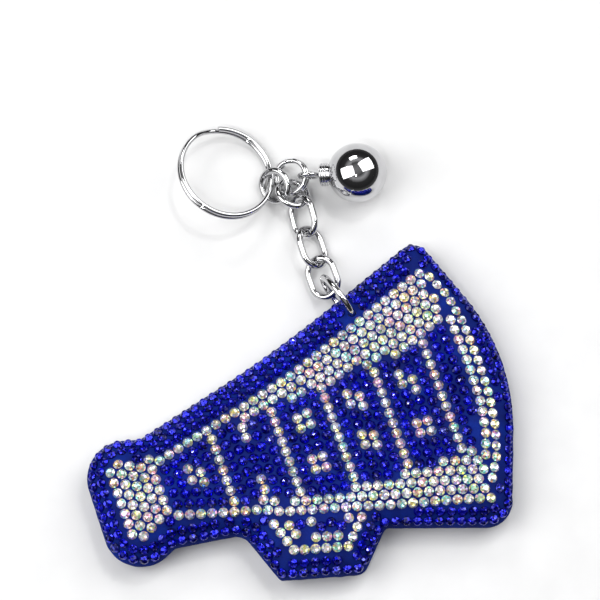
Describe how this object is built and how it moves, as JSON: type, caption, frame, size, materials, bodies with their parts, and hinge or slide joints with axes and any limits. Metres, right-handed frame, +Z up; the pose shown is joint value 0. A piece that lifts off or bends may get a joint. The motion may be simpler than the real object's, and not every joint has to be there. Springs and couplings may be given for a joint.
{
  "type": "padded bag charm",
  "caption": "Padded bag charm shaped like a cheer megaphone, covered in flat-back stones, with a chain, a polished ball and a key ring.",
  "frame": {"origin": "on the flat back face, on the megaphone's axis; the charm lies on its back", "axes": "+Z up out of the stone-covered front, +X along the megaphone from mouthpiece to bell, +Y to the edge with the chain"},
  "size_m": [0.1012, 0.1128, 0.014],
  "materials": {
    "velvet": "short pile",
    "padding": "open cell foam",
    "card": "grey board",
    "crystal": "faceted, iridescent",
    "blue_stone": "faceted",
    "chrome": "polished"
  },
  "bodies": {
    "cushion": {"front_cover": "velvet", "back_cover": "velvet", "front_padding": "padding", "back_padding": "padding", "stiffener_card": "card", "crystal_mouthpiece": "crystal", "crystal_upper_border": "crystal", "crystal_lower_border": "crystal", "crystal_bell_border": "crystal", "crystal_handle_loop": "crystal", "crystal_bay_lines": "crystal", "crystal_bay_blocks": "crystal", "blue_rim": "blue_stone", "blue_handle": "blue_stone", "blue_bays": "blue_stone"},
    "jump_ring": {"jump_ring": "chrome"},
    "link_1": {"chain_link_1": "chrome"},
    "link_2": {"chain_link_2": "chrome"},
    "link_3": {"chain_link_3": "chrome"},
    "collecting_ring": {"collecting_ring": "chrome"},
    "end_ring": {"end_ring": "chrome"},
    "small_split_ring": {"small_split_ring": "chrome"},
    "key_ring": {"key_ring": "chrome"},
    "ball": {"ball_eye": "chrome", "ball_collar": "chrome", "ball_shell_near": "chrome", "ball_shell_far": "chrome"}
  },
  "joints": [
    {"name": "jump_ring_turn", "type": "hinge", "parent": "cushion", "child": "jump_ring", "pos_m": [0.01889, 0.02931, 0.00685], "axis": [0.9549, 0.297, 0], "range_deg": [-8, 40]},
    {"name": "link_1_swing", "type": "hinge", "parent": "jump_ring", "child": "link_1", "pos_m": [0.01747, 0.03388, 0.00322], "axis": [0.8829, 0.0033, 0.4695], "range_deg": [-20, 4]},
    {"name": "link_2_swing", "type": "hinge", "parent": "link_1", "child": "link_2", "pos_m": [0.01747, 0.0409, 0.00317], "axis": [0.766, -0.0146, -0.6427], "range_deg": [-15, 12]},
    {"name": "link_3_swing", "type": "hinge", "parent": "link_2", "child": "link_3", "pos_m": [0.0177, 0.04857, 0.00327], "axis": [0.6782, -0.0736, 0.7312], "range_deg": [-15, 20]},
    {"name": "collecting_ring_swing", "type": "hinge", "parent": "link_3", "child": "collecting_ring", "pos_m": [0.01837, 0.05622, 0.00342], "axis": [0.7692, 0.358, -0.5293], "range_deg": [-4, 20]},
    {"name": "end_ring_swing", "type": "hinge", "parent": "collecting_ring", "child": "end_ring", "pos_m": [0.01511, 0.06043, 0.00379], "axis": [0.5828, 0.6269, -0.517], "range_deg": [-6, 8]},
    {"name": "key_ring_swing", "type": "hinge", "parent": "end_ring", "child": "key_ring", "pos_m": [0.01218, 0.06371, 0.00223], "axis": [-0.5229, -0.6284, -0.5758], "range_deg": [-4, 8]},
    {"name": "split_ring_swing", "type": "hinge", "parent": "collecting_ring", "child": "small_split_ring", "pos_m": [0.01806, 0.06115, 0.00198], "axis": [0.8823, -0.2714, -0.3846], "range_deg": [-5, 8]},
    {"name": "ball_swing", "type": "hinge", "parent": "small_split_ring", "child": "ball", "pos_m": [0.02194, 0.06044, 0.00474], "axis": [0.313, 0.9456, 0.0887], "range_deg": [-12, 12]}
  ]
}
